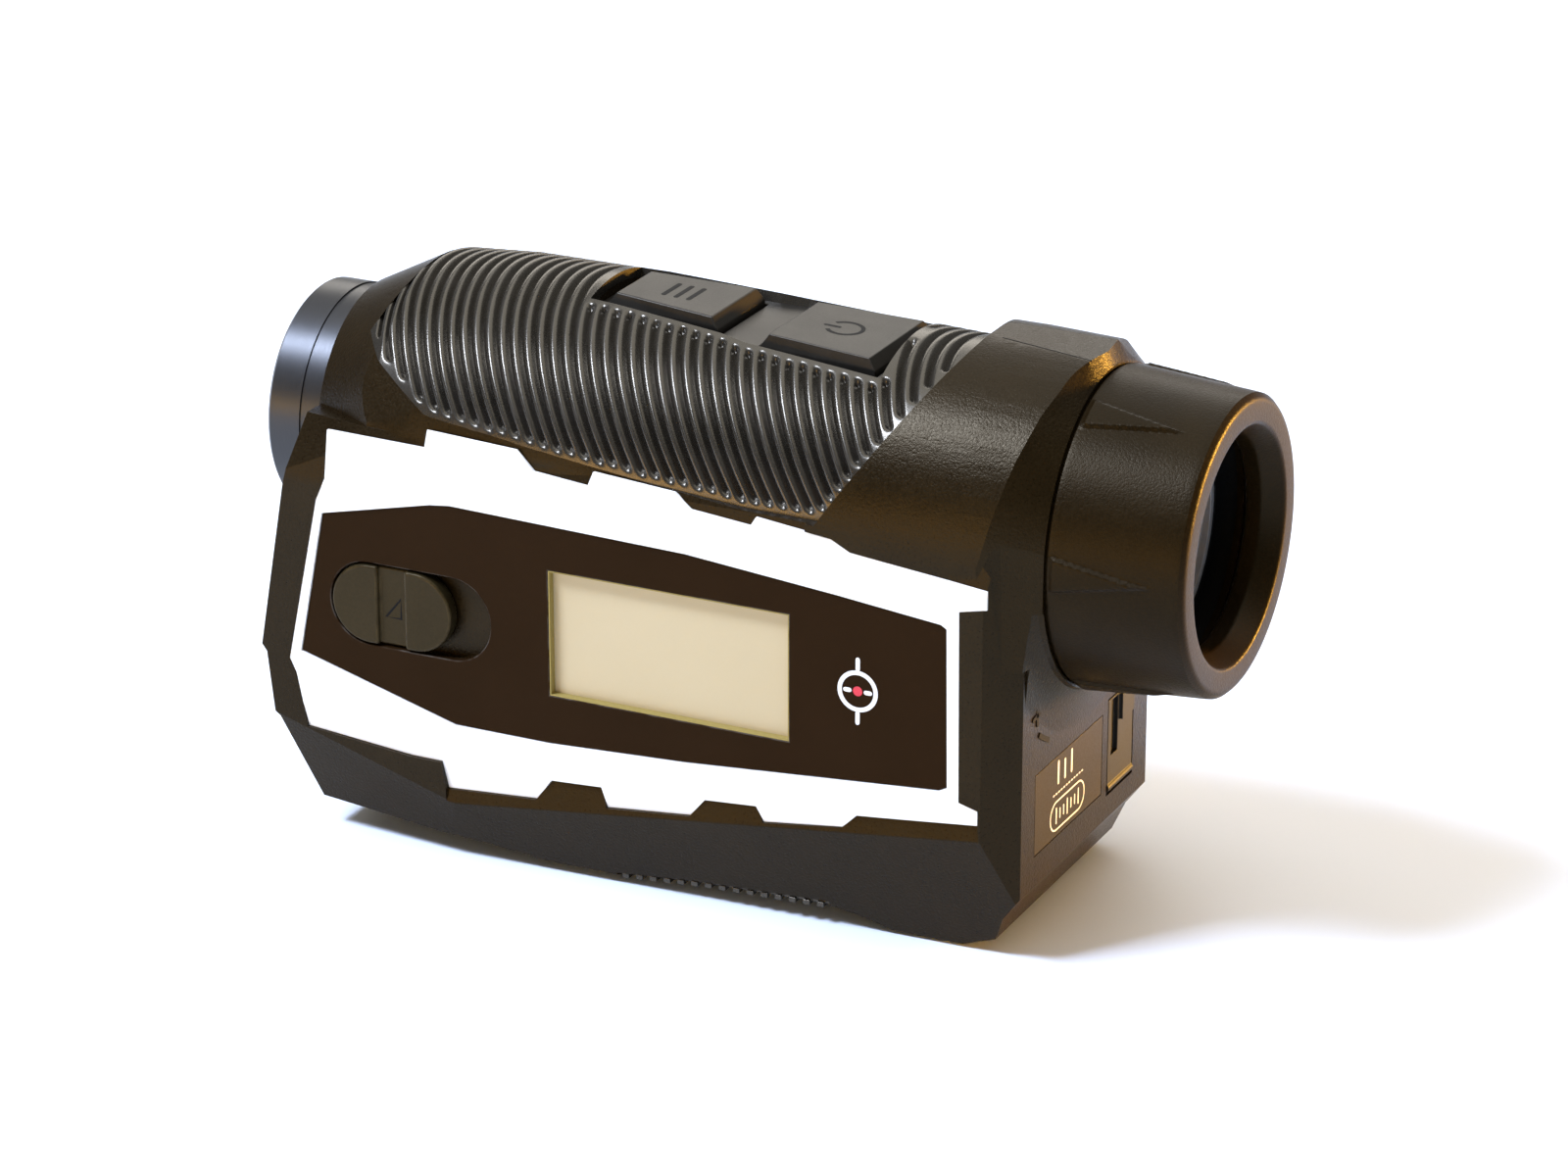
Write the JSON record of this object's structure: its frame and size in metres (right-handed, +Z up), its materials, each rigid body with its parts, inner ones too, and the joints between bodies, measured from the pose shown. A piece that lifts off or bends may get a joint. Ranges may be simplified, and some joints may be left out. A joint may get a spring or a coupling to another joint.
{
  "type": "laser rangefinder",
  "caption": "Hand-held laser rangefinder with a monocular, side display in pale trim, ribbed grip, two top keys, a side slider and a turning eyepiece.",
  "frame": {"origin": "centre of the bounding box in plan, on the plane of the base", "axes": "+X towards the eyepiece along the optical axis, +Y to the user's right, +Z up; the display side faces -Y"},
  "size_m": [0.111, 0.0406, 0.0644],
  "materials": {
    "housing_plastic": "fine spark-eroded grain, semi-matt",
    "grip_rubber": "moulded ribs, soft sheen",
    "trim_plastic": "bright, lightly textured",
    "panel_film": "smooth satin film",
    "lcd_glass": "pale reflective display behind a clear window",
    "knob_plastic": "satin with polished edge",
    "key_rubber": "matt silicone",
    "eyecup_rubber": "fine grained, matt",
    "inner_black": "flat black optical finish",
    "lens_glass": "coated, clear",
    "laser_glass": "deep red filter",
    "seal_rubber": "soft matt",
    "anodised_ring": "black anodised, satin",
    "bare_metal": "machined",
    "screw_steel": "plated steel",
    "board_laminate": "solder mask",
    "cell_sleeve": "shrink sleeve over a metal can",
    "label_film": "printed film"
  },
  "bodies": {
    "casing": {"main_housing": "housing_plastic", "front_cap": "housing_plastic", "grip_saddle": "grip_rubber", "base_grip_pad": "grip_rubber", "trim_left": "trim_plastic", "trim_right": "trim_plastic", "panel_left": "panel_film", "panel_right": "panel_film", "display_module": "lcd_glass", "slope_switch": "inner_black", "key_surround": "key_rubber", "key_switches": "bare_metal", "key_board": "board_laminate", "objective_ring": "anodised_ring", "objective_retainer": "inner_black", "objective_lens": "lens_glass", "objective_seal": "seal_rubber", "emitter_lens": "laser_glass", "emitter_seal": "seal_rubber", "laser_module": "bare_metal", "receiver_module": "bare_metal", "prism_block": "lens_glass", "reticle_plate": "lens_glass", "optics_chassis": "inner_black", "main_board": "board_laminate", "battery_cell": "cell_sleeve", "usb_socket": "bare_metal", "rear_label": "label_film", "cap_screws": "screw_steel", "board_screws": "screw_steel"},
    "mode_key": {"mode_key": "key_rubber"},
    "power_key": {"power_key": "key_rubber"},
    "slope_slider": {"slope_knob": "knob_plastic"},
    "eyepiece": {"dioptre_ring": "inner_black", "eyecup": "eyecup_rubber"},
    "ocular": {"ocular_cell": "inner_black", "ocular_retainer": "inner_black", "eye_lens": "lens_glass", "field_lens": "lens_glass", "cell_guide_pin": "screw_steel"},
    "port_flap": {"port_cover": "seal_rubber"}
  },
  "joints": [
    {"name": "mode_key_press", "type": "slide", "parent": "casing", "child": "mode_key", "axis": [0, 0, -1], "range_m": [0, 0.0006], "stiffness_N_per_m": 1500},
    {"name": "power_key_press", "type": "slide", "parent": "casing", "child": "power_key", "axis": [0, 0, -1], "range_m": [0, 0.0006], "stiffness_N_per_m": 1500},
    {"name": "slope_slide", "type": "slide", "parent": "casing", "child": "slope_slider", "axis": [1, 0, 0], "range_m": [0, 0.0046]},
    {"name": "dioptre_turn", "type": "hinge", "parent": "casing", "child": "eyepiece", "pos_m": [0.044, 0, 0.0445], "axis": [1, 0, 0], "range_deg": [-120, 120]},
    {"name": "ocular_focus", "type": "slide", "parent": "casing", "child": "ocular", "axis": [1, 0, 0], "range_m": [-0.0009, 0.0009]},
    {"name": "port_flap_open", "type": "hinge", "parent": "casing", "child": "port_flap", "pos_m": [0.0381, 0.0097, 0.011], "axis": [0, 1, 0], "range_deg": [0, 100]}
  ],
  "couplings": [
    {"joint": "ocular_focus", "follows": "dioptre_turn", "m_per_rad": 0.00042}
  ]
}
